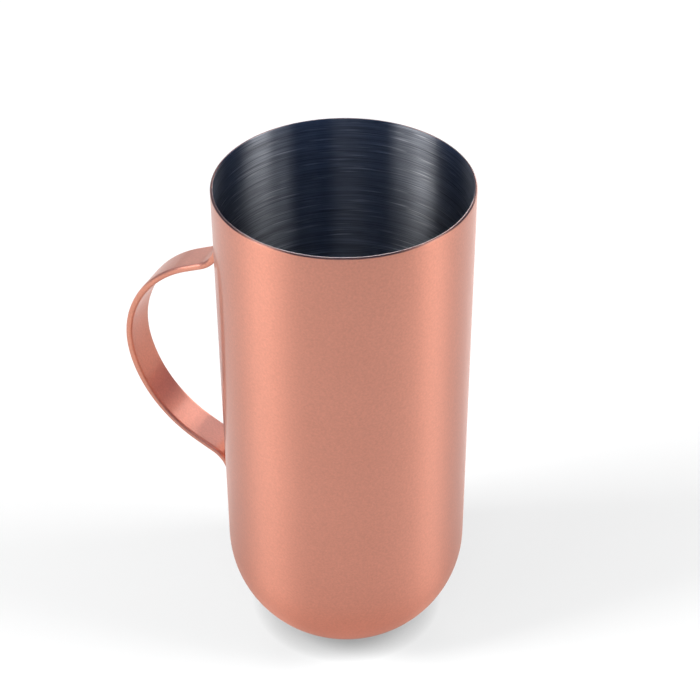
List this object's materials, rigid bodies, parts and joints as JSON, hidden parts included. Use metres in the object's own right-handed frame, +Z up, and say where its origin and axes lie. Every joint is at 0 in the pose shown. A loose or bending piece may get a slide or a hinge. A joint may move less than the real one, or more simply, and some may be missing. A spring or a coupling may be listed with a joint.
{
  "type": "milk frothing cup",
  "caption": "Tall straight-sided steel frothing cup with a round bottom, satin copper-plated outside, open at the top, with a bent strap handle spot-welded to its side.",
  "frame": {"origin": "centre of the flat base that the cup stands on", "axes": "+Z up along the cup's axis, -X towards the handle, Y across the handle strap"},
  "size_m": [0.1171, 0.08, 0.17],
  "materials": {
    "copper_plate": "satin copper plate on stainless steel",
    "bare_steel": "brushed bare stainless steel"
  },
  "bodies": {
    "root": {"cup_body": "copper_plate", "handle_strap": "copper_plate", "upper_weld_front": "bare_steel", "upper_weld_back": "bare_steel", "lower_weld_front": "bare_steel", "lower_weld_back": "bare_steel"}
  },
  "joints": []
}
